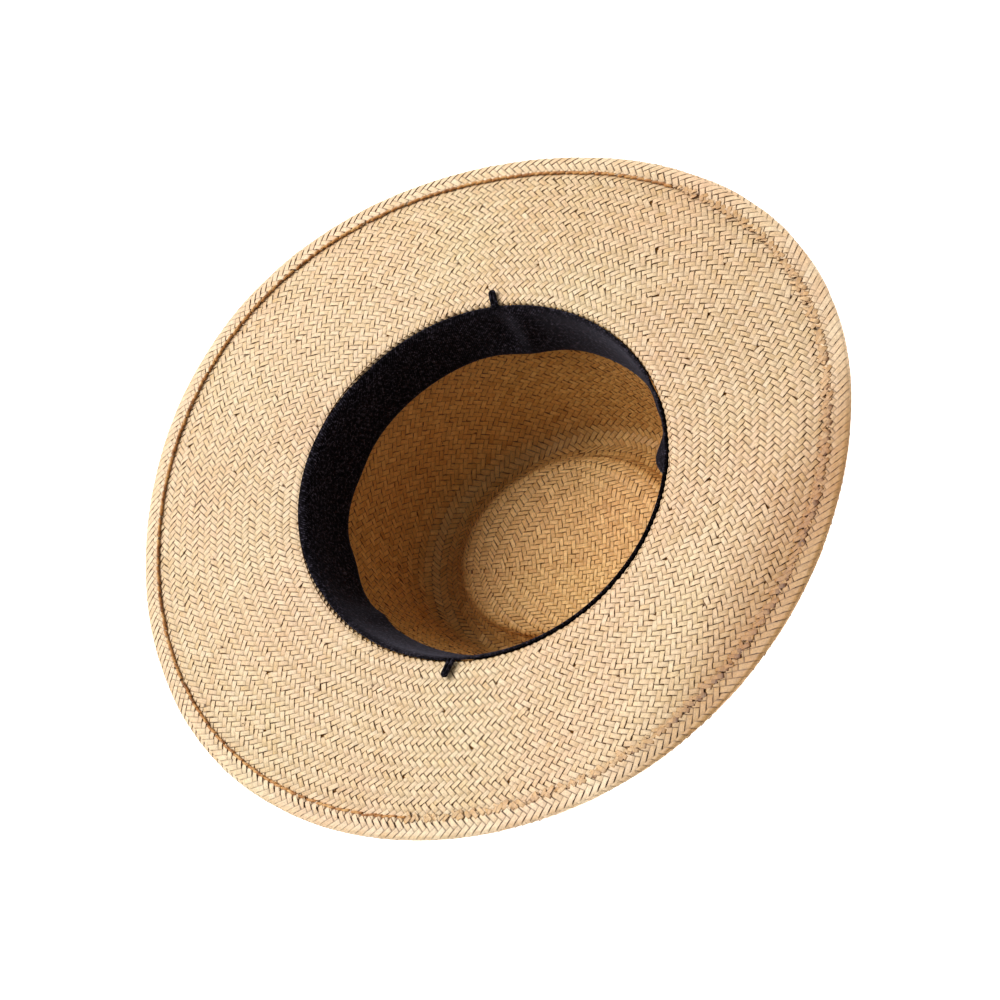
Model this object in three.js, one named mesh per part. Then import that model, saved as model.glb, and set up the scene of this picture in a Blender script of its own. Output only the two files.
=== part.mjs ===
// Woven straw fedora, lying on its crown with the head opening up.
// Millimetres, +Z up. The origin is on the floor under the middle of the brim.
// -X is the front of the hat and +X the back, where the sweatband is joined.
import * as THREE from "three";

// Straw body
const STRAW_WALL = 1.6;
// The hat lies on its ridge, which is a narrow flat: what comes this close to the floor lies on it
const RIDGE_FLAT = 1.0;
const SEGMENTS = 64;
const SEAT_GAP = 0.3;

// The face inside the hat, from the middle of the dent out over the ridge, up the wall and along the brim.
// Each row is an oval: its height, the X and the Y of its middle, its half length and half width,
// how many degrees it is turned, and how much of the brim's wave it takes.
const SECTIONS = [
  { place: "dent middle", height: 14, middle: 0.5, aside: -5, halfLength: 0, halfWidth: 0, turn: 7, wave: 0 },
  { place: "dent floor", height: 13.7, middle: 0.5, aside: -5, halfLength: 31, halfWidth: 23, turn: 7, wave: 0 },
  { place: "dent edge", height: 12.4, middle: 0.5, aside: -5, halfLength: 56.5, halfWidth: 41.5, turn: 7, wave: 0 },
  { place: "dent side", height: 6.2, middle: 0, aside: -4.2, halfLength: 65, halfWidth: 45.8, turn: 7, wave: 0 },
  { place: "ridge inner", height: 2.3, middle: 0, aside: -3, halfLength: 75.5, halfWidth: 50.3, turn: 7, wave: 0 },
  { place: "ridge outer", height: 2.3, middle: 0, aside: -2.2, halfLength: 81.5, halfWidth: 54.3, turn: 7, wave: 0 },
  { place: "wall foot", height: 8.4, middle: 0.8, aside: -1.2, halfLength: 87, halfWidth: 58.6, turn: 6, wave: 0 },
  { place: "low wall", height: 28, middle: 2.5, aside: -0.3, halfLength: 90.5, halfWidth: 65, turn: 4.2, wave: 0 },
  { place: "middle wall", height: 55, middle: 5, aside: 0, halfLength: 93.5, halfWidth: 72, turn: 2.4, wave: 0 },
  { place: "high wall", height: 82, middle: 7.5, aside: 0, halfLength: 96.8, halfWidth: 79, turn: 0.8, wave: 0 },
  { place: "wall top", height: 97.8, middle: 9, aside: 0, halfLength: 98.2, halfWidth: 82.2, turn: 0, wave: 0 },
  { place: "break", height: 101.4, middle: 9, aside: 0, halfLength: 99.7, halfWidth: 83.7, turn: 0, wave: 0 },
  { place: "brim root", height: 102.8, middle: 9, aside: 0, halfLength: 103.4, halfWidth: 87.4, turn: 0, wave: 0 },
  { place: "inner brim", height: 102, middle: 6, aside: 0, halfLength: 133, halfWidth: 112, turn: 0, wave: 0.2 },
  { place: "outer brim", height: 99.5, middle: 3, aside: 0, halfLength: 164, halfWidth: 138, turn: 0, wave: 0.55 },
  { place: "brim edge", height: 95.7, middle: 0, aside: 0, halfLength: 195, halfWidth: 164.4, turn: 0, wave: 1 },
];
const WALL_TOP = SECTIONS.findIndex((row) => row.place === "wall top");
const BREAK = SECTIONS.findIndex((row) => row.place === "break");
const BRIM_EDGE = SECTIONS.length - 1;
const STEPS_PER_SECTION = 2;

// The soft brim's lie at its edge: how high it stands for each number of waves in a turn
const BRIM_WAVES = [
  { waves: 1, alongFront: 3.7, alongSide: -8.5 },
  { waves: 2, alongFront: 1.8, alongSide: -5.8 },
];
// Four soft corners: the outline is this share smaller at the front, back and sides than between them
const BRIM_CORNERS = 0.008;

// Hem: the brim's edge is turned over onto the face that is up here
const HEM_WIDTH = 9.7;
const HEM_THICKNESS = 1.4;
const HEM_EDGE_ROUND = 0.7;

// Cotton sweatband, sewn in at the break and loose at its lower edge
const BAND_HEIGHT = 32;
const BAND_THICKNESS = 1.0;
const BAND_STAND_OFF = 0.8;
const BAND_SEGMENTS = 96;
const BAND_ROWS = 5;
// Ripples of the free edge: where they are round the hat, how wide, and how far they stand off the wall
const BAND_RIPPLES = [
  { place: "joint", atDegrees: 10, spreadDegrees: 12, standOff: 13 },
  { place: "back left", atDegrees: 30, spreadDegrees: 8, standOff: 3.5 },
  { place: "left side", atDegrees: 87, spreadDegrees: 11, standOff: 3.5 },
  { place: "front left", atDegrees: 163, spreadDegrees: 9, standOff: 1.5 },
  { place: "front right", atDegrees: 200, spreadDegrees: 9, standOff: 2.5 },
  { place: "right side", atDegrees: 225.5, spreadDegrees: 4, standOff: 1.5 },
];

// Side loops of folded cord, from under the band's sewn edge out onto the brim
const LOOP_CORD_RADIUS = 0.8;
const LOOP_CORD_SIDES = 8;
const LOOP_REACH = 8;
const LOOP_LEG_SPACING = 2.1;
const LOOP_LEAN = THREE.MathUtils.degToRad(20);
const LOOP_LEG_STEPS = 3;
const LOOP_BEND_STEPS = 6;
const LOOP_LIFT = 1.15;
const LOOPS = [
  { name: "side_loop_left", atDegrees: 90 },
  { name: "side_loop_right", atDegrees: -90 },
];

const straw = { color: 0xd9b98a, roughness: 0.75, metalness: 0 };
const cotton = { color: 0x141317, roughness: 0.9, metalness: 0 };

// Smooth curve through one column of the sections
function column(name, along) {
  const first = Math.min(Math.floor(along), BRIM_EDGE - 1);
  const share = along - first;
  const row = (index) => SECTIONS[THREE.MathUtils.clamp(index, 0, BRIM_EDGE)][name];
  const [before, from, to, after] = [row(first - 1), row(first), row(first + 1), row(first + 2)];
  const leaving = (to - before) / 2;
  const arriving = (after - from) / 2;
  const bend = 2 * (from - to) + leaving + arriving;
  const lift = 3 * (to - from) - 2 * leaving - arriving;
  return ((bend * share + lift) * share + leaving) * share + from;
}

// A point of the face inside the hat: along counts the sections, angle runs from the back by the left side
function facePoint(along, angle) {
  const wave = column("wave", along);
  const corners = 1 - wave * BRIM_CORNERS * Math.cos(4 * angle);
  let height = column("height", along);
  for (const { waves, alongFront, alongSide } of BRIM_WAVES) {
    height += wave * (alongFront * Math.cos(waves * angle) + alongSide * Math.sin(waves * angle));
  }
  const turn = THREE.MathUtils.degToRad(column("turn", along));
  const length = column("halfLength", along) * corners * Math.cos(angle);
  const width = column("halfWidth", along) * corners * Math.sin(angle);
  return new THREE.Vector3(
    column("middle", along) + length * Math.cos(turn) - width * Math.sin(turn),
    column("aside", along) + length * Math.sin(turn) + width * Math.cos(turn),
    height,
  );
}

// The way out of the hollow side of the straw: up on the brim, inwards on the wall
function faceNormal(along, angle) {
  const step = 0.01;
  const ahead = facePoint(Math.min(along + step, BRIM_EDGE), angle);
  const outward = ahead.sub(facePoint(Math.max(along - step, step), angle));
  const around = facePoint(Math.max(along, step), angle + step).sub(facePoint(Math.max(along, step), angle - step));
  return outward.cross(around).normalize();
}

// A point off the face: positive towards the head, negative through the straw
function offFace(along, angle, distance) {
  const normal = along === 0 ? new THREE.Vector3(0, 0, 1) : faceNormal(along, angle);
  return facePoint(along, angle).addScaledVector(normal, distance);
}

// How far to go along the sections from a place for a distance on the face, at the given angle
function alongAfter(start, angle, distance) {
  const step = Math.sign(distance) * 0.002;
  let along = start;
  let walked = 0;
  while (walked < Math.abs(distance)) {
    walked += facePoint(along, angle).distanceTo(facePoint(along + step, angle));
    along += step;
  }
  return along;
}

// A ring of points round the hat
function ring(segments, pointAt) {
  return Array.from({ length: segments }, (_, index) => pointAt((index * 2 * Math.PI) / segments));
}

// A closed body skinned over rings; a ring of one point is a pole, otherwise the last ring joins the first
function skin(rings) {
  const positions = [];
  const starts = rings.map((points) => {
    const start = positions.length / 3;
    points.forEach((point) => positions.push(point.x, point.y, point.z));
    return start;
  });
  const triangles = [];
  const joined = rings[0].length > 1;
  const bands = joined ? rings.length : rings.length - 1;
  for (let band = 0; band < bands; band += 1) {
    const next = (band + 1) % rings.length;
    const count = Math.max(rings[band].length, rings[next].length);
    for (let index = 0; index < count; index += 1) {
      const after = (index + 1) % count;
      const low = (place) => starts[band] + (rings[band].length > 1 ? place : 0);
      const high = (place) => starts[next] + (rings[next].length > 1 ? place : 0);
      if (rings[band].length > 1) triangles.push(low(index), high(index), low(after));
      if (rings[next].length > 1) triangles.push(high(index), high(after), low(after));
    }
  }
  const geometry = new THREE.BufferGeometry();
  geometry.setAttribute("position", new THREE.Float32BufferAttribute(positions, 3));
  geometry.setIndex(triangles);
  geometry.computeVertexNormals();
  return geometry;
}

// Even steps along the sections, both ends included
function steps(from, to, count) {
  return Array.from({ length: count + 1 }, (_, index) => from + ((to - from) * index) / count);
}

// Crown: dent, ridge and wall in one wall of straw, open at the top; its ridge is a narrow flat on the floor
function crown() {
  const places = steps(0, WALL_TOP, WALL_TOP * STEPS_PER_SECTION);
  const onFloor = (point) => (point.z < RIDGE_FLAT ? point.setZ(0) : point);
  const faceRing = (depth) => (along) =>
    along === 0 ? [offFace(0, 0, -depth)] : ring(SEGMENTS, (angle) => onFloor(offFace(along, angle, -depth)));
  return skin([...places.map(faceRing(0)), ...places.reverse().map(faceRing(STRAW_WALL))]);
}

// Brim: from the break out to the edge, with the hem turned over on the upper face
function brim() {
  const atDistance = (start, distance) => (angle) => alongAfter(start, angle, distance);
  const root = atDistance(WALL_TOP, SEAT_GAP);
  const hemStart = atDistance(BRIM_EDGE, -HEM_WIDTH);
  const hemTop = atDistance(BRIM_EDGE, -HEM_WIDTH + HEM_EDGE_ROUND);
  const edge = atDistance(BRIM_EDGE, -HEM_EDGE_ROUND);
  const between = (from, to, share) => (angle) => from(angle) + (to(angle) - from(angle)) * share;
  const level = (along) => () => along;
  const open = steps(BREAK, BRIM_EDGE - 1, (BRIM_EDGE - 1 - BREAK) * STEPS_PER_SECTION).map(level);
  const upper = [
    [root, 0],
    [between(root, level(BREAK), 0.5), 0],
    ...open.map((along) => [along, 0]),
    [between(level(BRIM_EDGE - 1), hemStart, 0.5), 0],
    [hemStart, 0],
    [hemTop, HEM_THICKNESS],
    [between(hemTop, edge, 0.5), HEM_THICKNESS],
    [edge, HEM_THICKNESS],
    [level(BRIM_EDGE), HEM_THICKNESS - HEM_EDGE_ROUND],
    [level(BRIM_EDGE), HEM_EDGE_ROUND - STRAW_WALL],
  ];
  const lower = [
    [edge, -STRAW_WALL],
    [between(level(BRIM_EDGE - 1), edge, 0.5), -STRAW_WALL],
    ...open.reverse().map((along) => [along, -STRAW_WALL]),
    [between(root, level(BREAK), 0.5), -STRAW_WALL],
    [root, -STRAW_WALL],
  ];
  const rings = [...upper, ...lower].map(([place, distance]) =>
    ring(SEGMENTS, (angle) => offFace(place(angle), angle, distance)),
  );
  return skin(rings);
}

// How far the band's free edge stands off the wall at an angle
function standOff(angle) {
  const degrees = THREE.MathUtils.radToDeg(angle);
  return BAND_RIPPLES.reduce((total, ripple) => {
    const away = THREE.MathUtils.euclideanModulo(degrees - ripple.atDegrees + 180, 360) - 180;
    return total + ripple.standOff * Math.exp(-((away / ripple.spreadDegrees) ** 2));
  }, BAND_STAND_OFF);
}

// Sweatband: a wall of cloth from the break down into the crown, rippled along its free edge
function sweatband() {
  const rowRing = (share, thickness) =>
    ring(BAND_SEGMENTS, (angle) => {
      const freeEdge = alongAfter(BREAK, angle, -BAND_HEIGHT);
      const along = freeEdge + (BREAK - freeEdge) * share;
      const loose = standOff(angle) * (1 - share) ** 2;
      return offFace(along, angle, SEAT_GAP + loose + thickness);
    });
  const shares = steps(0, 1, BAND_ROWS - 1);
  const headSide = shares.map((share) => rowRing(share, BAND_THICKNESS));
  const wallSide = shares.reverse().map((share) => rowRing(share, 0));
  return skin([...headSide, ...wallSide]);
}

// Side loop: a cord doubled back on itself in one plane, lying on the brim and leaning to the front
function sideLoop(atDegrees) {
  const angle = THREE.MathUtils.degToRad(atDegrees);
  const clearance = LOOP_LIFT + LOOP_CORD_RADIUS;
  const halfSpacing = LOOP_LEG_SPACING / 2;
  const start = alongAfter(BREAK, angle, SEAT_GAP + LOOP_CORD_RADIUS);
  const end = alongAfter(start, angle, LOOP_REACH * Math.cos(LOOP_LEAN));
  const lean = (Math.sign(atDegrees) * LOOP_REACH * Math.sin(LOOP_LEAN)) / facePoint(end, angle).length();
  const root = offFace(start, angle, clearance);
  const reach = offFace(end, angle + lean, clearance).sub(root).normalize();
  const across = faceNormal(end, angle).cross(reach).normalize();
  const up = reach.clone().cross(across);
  const straight = LOOP_REACH - halfSpacing;
  const leg = steps(0, straight, LOOP_LEG_STEPS);
  const route = [
    ...leg.slice(0, -1).map((far) => ({ far, turned: 0 })),
    ...steps(0, Math.PI, LOOP_BEND_STEPS).map((turned) => ({ far: straight, turned })),
    ...leg.slice(0, -1).reverse().map((far) => ({ far, turned: Math.PI })),
  ];
  const centre = ({ far, turned }) =>
    root
      .clone()
      .addScaledVector(reach, far + halfSpacing * Math.sin(turned))
      .addScaledVector(across, halfSpacing * Math.cos(turned));
  const cordRing = (stop) =>
    Array.from({ length: LOOP_CORD_SIDES }, (_, index) => {
      const around = (-index * 2 * Math.PI) / LOOP_CORD_SIDES;
      const outward = reach.clone().multiplyScalar(Math.sin(stop.turned));
      outward.addScaledVector(across, Math.cos(stop.turned));
      return centre(stop)
        .addScaledVector(outward, LOOP_CORD_RADIUS * Math.cos(around))
        .addScaledVector(up, LOOP_CORD_RADIUS * Math.sin(around));
    });
  return skin([[centre(route[0])], ...route.map(cordRing), [centre(route[route.length - 1])]]);
}

function piece(name, geometry, look) {
  const mesh = new THREE.Mesh(geometry, new THREE.MeshStandardMaterial(look));
  mesh.name = name;
  return mesh;
}

const fedora = new THREE.Group();
fedora.add(piece("crown", crown(), straw));
fedora.add(piece("brim", brim(), straw));
fedora.add(piece("sweatband", sweatband(), cotton));
LOOPS.forEach(({ name, atDegrees }) => fedora.add(piece(name, sideLoop(atDegrees), cotton)));

export default fedora;
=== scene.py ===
"""A woven straw fedora lying on its crown, in metres: the plaited crown and brim, the turned
and stitched edge, the black cotton sweatband and the two side loops. The front points to -X."""
import math

import bmesh
import bpy
import numpy as np
from mathutils import Matrix, Vector


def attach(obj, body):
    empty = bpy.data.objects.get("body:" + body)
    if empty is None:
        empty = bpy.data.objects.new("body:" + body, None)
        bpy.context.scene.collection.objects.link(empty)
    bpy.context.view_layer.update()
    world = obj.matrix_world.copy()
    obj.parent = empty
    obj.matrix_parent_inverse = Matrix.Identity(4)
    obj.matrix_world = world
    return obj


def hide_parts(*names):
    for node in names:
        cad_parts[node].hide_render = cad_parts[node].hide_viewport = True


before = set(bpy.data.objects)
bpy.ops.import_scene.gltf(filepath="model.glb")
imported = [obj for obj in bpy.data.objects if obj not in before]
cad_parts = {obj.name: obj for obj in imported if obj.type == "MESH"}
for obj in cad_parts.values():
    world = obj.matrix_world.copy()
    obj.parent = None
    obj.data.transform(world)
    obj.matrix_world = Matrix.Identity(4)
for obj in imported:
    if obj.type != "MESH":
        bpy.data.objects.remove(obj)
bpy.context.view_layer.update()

MM = 0.001

# Sections of the straw face inside the hat, from the middle of the crown's dent to the brim's edge, in mm
SECTIONS = [
    # place, height, middle, aside, half_length, half_width, turn in degrees, wave
    ("dent middle", 14.0, 0.5, -5.0, 0.0, 0.0, 7.0, 0.0),
    ("dent floor", 13.7, 0.5, -5.0, 31.0, 23.0, 7.0, 0.0),
    ("dent edge", 12.4, 0.5, -5.0, 56.5, 41.5, 7.0, 0.0),
    ("dent side", 6.2, 0.0, -4.2, 65.0, 45.8, 7.0, 0.0),
    ("ridge inner", 2.3, 0.0, -3.0, 75.5, 50.3, 7.0, 0.0),
    ("ridge outer", 2.3, 0.0, -2.2, 81.5, 54.3, 7.0, 0.0),
    ("wall foot", 8.4, 0.8, -1.2, 87.0, 58.6, 6.0, 0.0),
    ("low wall", 28.0, 2.5, -0.3, 90.5, 65.0, 4.2, 0.0),
    ("middle wall", 55.0, 5.0, 0.0, 93.5, 72.0, 2.4, 0.0),
    ("high wall", 82.0, 7.5, 0.0, 96.8, 79.0, 0.8, 0.0),
    ("wall top", 97.8, 9.0, 0.0, 98.2, 82.2, 0.0, 0.0),
    ("break", 101.4, 9.0, 0.0, 99.7, 83.7, 0.0, 0.0),
    ("brim root", 102.8, 9.0, 0.0, 103.4, 87.4, 0.0, 0.0),
    ("inner brim", 102.0, 6.0, 0.0, 133.0, 112.0, 0.0, 0.2),
    ("outer brim", 99.5, 3.0, 0.0, 164.0, 138.0, 0.0, 0.55),
    ("brim edge", 95.7, 0.0, 0.0, 195.0, 164.4, 0.0, 1.0),
]
COLUMNS = ("height", "middle", "aside", "half_length", "half_width", "turn", "wave")
FACE = {}
for number, title in enumerate(COLUMNS):
    FACE[title] = np.array([row[number + 1] for row in SECTIONS])
PLACES = [row[0] for row in SECTIONS]
BREAK = PLACES.index("break")
BRIM_EDGE = PLACES.index("brim edge")
BRIM_WAVES = [
    # waves round the brim, along_front, along_side in mm
    (1, 3.7, -8.5),
    (2, 1.8, -5.8),
]
BRIM_CORNERS = 0.008

# Straw plait: rings are rows of crossings counted outwards, lengths are in mm
STRAW_WALL = 1.6
CROWN_RINGS = 100
WALL_RING = 35
WALL_STRIPS = 4 * WALL_RING
CROWN_WIDTHS = (1.2, 4.6)
BRIM_RINGS = 49
BRIM_STRIPS = 184
BRIM_RADIUS = 136.0
BRIM_WIDTHS = (1.2, 3.4)
ADDED_STRIPS = 100
ADDED_SPREAD = 1.2
ADDED_CLEAR = 1.5
RING_STEP = 1.8
FOLD_RINGS = 0.8
GRID_PITCH = 2.15
GRID_RINGS = (14.0, 33.0)
DENT_SHAPE = 1.5
DENT_RINGS = (26.0, 40.0)
DENT_SHARE = 0.93
WEAVE_SHIFT = (13.0, -9.0)
SHIFT_RINGS = 62.0
STRIP_THICKNESS = 0.42
STRIP_LIFT = 0.33
STRIP_SHARE = 0.94
CROWN_SHARE = 1.03
# Half thickness and shortfall of the dark sheet of painted shade between the strips
SHADE_SHEET_HALF = 0.06
SHADE_SHEET_SHORT = 0.05
FAN = 128
BRIM_FAN = 2400

# How strips dive between crossings, and how uneven they are: shifts in mm, shares of width, and roll
CROSSING_SHARES = (0.3, 0.7)
DIVE_LEVEL = 0.78
PLACE_JITTER = 0.08
LEVEL_JITTER = 0.04
NARROWEST_STRIP = 0.95
WIDTH_RANGE = 0.1
WIDTH_JITTER = 0.03
ROLL_JITTER = math.radians(5)

# Turned edge, in mm; the walk goes from under the brim round the fold and back over its face
HEM_STRIPS = 272
HEM_LIFT = 0.7
HEM_FOLD = 0.75
HEM_ROWS = range(-3, 9)
HEM_ROW_START = 3.0
HEM_ROW_STEP = 2.1
HEM_DRIFT = 4.6
HEM_REACH = (-1.5, 10.9)
HEM_STRIP_WIDTH = 2.9
HEM_STRIP_LIFT = 0.3
HEM_STRIP_THICKNESS = 0.5
# Walks and the values there
HEM_BENDS = ((2.4, 4.4), (1.0, 0.0))
HEM_LIFTS = ((0.0, 2.0, 4.0, 8.0, 10.0), (0.4, 0.5, 1.0, 1.0, 0.5))
# Darks scale the painted shade where the edge's strips tuck under
HEM_DARKS = ((1.5, 3.5, 8.0, 10.0), (0.15, 1.0, 1.0, 0.4))

# Thread along the turned edge, in mm
STITCH_WALK = 11.2
STITCH_PITCH = 4.0
STITCH_LENGTH = 4.3
STITCH_RADIUS = 0.65
STITCH_JITTER = 0.15
STITCH_SLANT = 0.5
STITCH_DIP = (0.5, -0.35)
STITCH_STEPS = 6
STITCH_SIDES = 6
STITCH_ROUND = 2 * math.pi * 180.0

# Raw ends along the back of the turned edge, in mm and degrees
FRAY_FROM = -92.0
FRAY_TO = 62.0
FRAY_MIDDLE = -20.0
FRAY_SPREAD = 45.0
FRAY_PITCH = 0.85
FRAY_RADIUS = 178.0
FRAY_LEAN = 0.78
FRAY_LIFT = 0.35
FRAY_THICKNESS = 0.4
FRAY_SINKS = ((10.4, 12.2), (0.0, 0.55))
FRAY_TAPER = (0.9, 1.05, 1.0, 0.8)
FRAY_ENDS = [
    # end, reach, breadth, curl and start, each from and to
    ("long", (3.6, 5.0), (1.7, 2.3), (0.3, 0.7), (8.8, 10.2)),
    ("short", (2.2, 3.8), (1.3, 2.1), (0.1, 0.35), (9.2, 11.6)),
]

# Sweatband and side loops, in mm
BAND_HEIGHT = 32.0
BAND_RADIUS = 91.0
BAND_THICKNESS = 1.0
BAND_STAND_OFF = 0.8
BAND_GAP = 0.3
COTTON_ROW = 1.3
BAND_ROLL = 1.3
ROOT_WIDTH = 3.96
BAND_COLUMNS = 420
BAND_ROWS = 22
BAND_RIPPLES = [
    # place, at_degrees, spread_degrees, stand_off
    ("joint", 10.0, 12.0, 13.0),
    ("back left", 30.0, 8.0, 3.5),
    ("left side", 87.0, 11.0, 3.5),
    ("front left", 163.0, 9.0, 1.5),
    ("front right", 200.0, 9.0, 2.5),
    ("right side", 225.5, 4.0, 1.5),
]
BAND_CREASES = [
    # place, at_degrees, spread_degrees, stand_off
    ("left swell", 85.0, 3.5, 2.0),
    ("left hollow", 91.0, 4.0, -1.2),
]
LOOPS = [
    # name, at_degrees
    ("side_loop_left", 90.0),
    ("side_loop_right", -90.0),
]
LOOP_REACH = 8.0
LOOP_SPACING = 1.9
LOOP_LEAN = math.radians(20.0)
LOOP_RADIUS = 0.92
LOOP_LIFT = 1.15
LOOP_START = 1.1
LOOP_LEG_STEPS = 6
LOOP_BEND_STEPS = 12

# Floor and low round wall of white paper, one large soft light and a bright room, in metres
FLOOR_REACH = 14.0
FLOOR_WALL = 4.0
KEY_AZIMUTH = math.radians(157.0)
KEY_HEIGHT = math.radians(52.0)
KEY_DISTANCE = 8.0
KEY_SIZE = 6.0
KEY_ENERGY = 784.0
ROOM_STRENGTH = 0.28

# Shading of the straw: pairs are a noise's factor and offset, or the reach of a step, in metres
DRIFT = 1.5
STREAKS = (0.7, 0.66)
FLECKS = (0.9, 0.55)
WARMTH = (0.24, 0.88)
GLOSS = (0.3, 0.32)
SHADOW_REACH = (0.14, 0.62)
DARKEST = 0.85
# Painted shade towards the back edge: its direction, its reach in metres and its tint
BACK_SHADE_WAY = (0.906, -0.423)
BACK_SHADE_REACH = (0.14, 0.178)
BACK_SHADE_TINT = (0.64, 0.5, 0.33, 1.0)
# Painted light on the lit dent: the oval's half lengths and offset, the reach of its edge and its tint
DENT_OVAL = (0.0575, 0.043)
DENT_ASIDE = 0.005
DENT_EDGE = (0.85, 1.3)
LIT_DENT_TINT = (1.17, 1.23, 1.41, 1.0)

# Camera as fitted to the brim's edge and the mouth of the hat
CAMERA_TILT = math.radians(38.23)
CAMERA_TURN = math.radians(-25.262)
CAMERA_ROLL = math.radians(-62.934)
CAMERA_DISTANCE = 1.1318
CAMERA_LENS = 90.6
PIXELS_PER_METRE = 2224.0
AIM_PIXEL = (476.28, 480.40)
MIDDLE_PIXEL = 500.0
MOUTH_MIDDLE = Vector((0.009, 0.0, 0.1014))


def column(title, along):
    """A section value on a smooth run through the sections."""
    values = FACE[title]
    last = len(values) - 1
    first = np.clip(np.floor(along).astype(int), 0, last - 1)
    share = along - first
    before = values[np.maximum(first - 1, 0)]
    start = values[first]
    end = values[first + 1]
    after = values[np.minimum(first + 2, last)]
    leaving = (end - before) / 2
    arriving = (after - start) / 2
    bend = 2 * (start - end) + leaving + arriving
    lift = 3 * (end - start) - 2 * leaving - arriving
    return ((bend * share + lift) * share + leaving) * share + start


def face_point(along, angle):
    """Points on the straw face inside the hat, in mm."""
    along, angle = np.broadcast_arrays(np.asarray(along, float), np.asarray(angle, float))
    wave = column("wave", along)
    corners = 1 - wave * BRIM_CORNERS * np.cos(4 * angle)
    height = column("height", along)
    for waves, along_front, along_side in BRIM_WAVES:
        height = height + wave * (along_front * np.cos(waves * angle) + along_side * np.sin(waves * angle))
    turn = np.radians(column("turn", along))
    length = column("half_length", along) * corners * np.cos(angle)
    width = column("half_width", along) * corners * np.sin(angle)
    x = column("middle", along) + length * np.cos(turn) - width * np.sin(turn)
    y = column("aside", along) + length * np.sin(turn) + width * np.cos(turn)
    return np.stack([x, y, height], axis=-1)


def unit(vectors):
    """Vectors made one long."""
    return vectors / np.maximum(np.linalg.norm(vectors, axis=-1, keepdims=True), 1e-9)


def face_frame(along, angle):
    """The face's outward run and its normal to the head."""
    step = 0.01
    here = np.clip(along, step, BRIM_EDGE - step)
    outward = face_point(here + step, angle) - face_point(here - step, angle)
    around = face_point(here, angle + step) - face_point(here, angle - step)
    return unit(outward), unit(np.cross(outward, around))


def off_face(along, angle, distance):
    """Points at a distance from the face, to the head where positive, and the face's normals."""
    normal = face_frame(along, angle)[1]
    return face_point(along, angle) + normal * np.asarray(distance, float)[..., None], normal


def ring_places(first, last, rings):
    """Where each of the evenly spaced rings lies along the sections, and the walk, for a fan of angles."""
    fan = np.linspace(0, 2 * np.pi, FAN + 1)
    along = np.linspace(first, last, 40 * (last - first) + 1)
    points = face_point(along[:, None], fan[None, :])
    strides = np.linalg.norm(np.diff(points, axis=0), axis=-1)
    walked = np.vstack([np.zeros(FAN + 1), np.cumsum(strides, axis=0)])
    shares = np.linspace(0, 1, rings + 1)
    places = [np.interp(shares, walked[:, turn] / walked[-1, turn], along) for turn in range(FAN + 1)]
    return np.stack(places, axis=1), walked[-1]


def along_of(places, ring, angle):
    """The place along the sections of a ring number at an angle."""
    turn = (angle / (2 * np.pi)) % 1.0 * FAN
    turn_from = np.minimum(np.floor(turn).astype(int), FAN - 1)
    turn_share = turn - turn_from
    ring_from = np.clip(np.floor(ring).astype(int), 0, len(places) - 2)
    ring_share = np.clip(ring - ring_from, 0, 1)
    turn_to = turn_from + 1
    ring_to = ring_from + 1
    inner = places[ring_from, turn_from] * (1 - turn_share) + places[ring_from, turn_to] * turn_share
    outer = places[ring_to, turn_from] * (1 - turn_share) + places[ring_to, turn_to] * turn_share
    return inner * (1 - ring_share) + outer * ring_share


def smooth(low, high, value):
    """A smooth step from 0 to 1."""
    share = np.clip((value - low) / (high - low), 0, 1)
    return share * share * (3 - 2 * share)


def new_object(name, mesh, material, slot, *nodes):
    """A finished piece that rides on the hat and stands for its solids."""
    piece = bpy.data.objects.new(name, mesh)
    bpy.context.collection.objects.link(piece)
    piece.data.materials.append(material)
    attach(piece, "root")
    if nodes:
        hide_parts(*nodes)
    return piece


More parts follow.
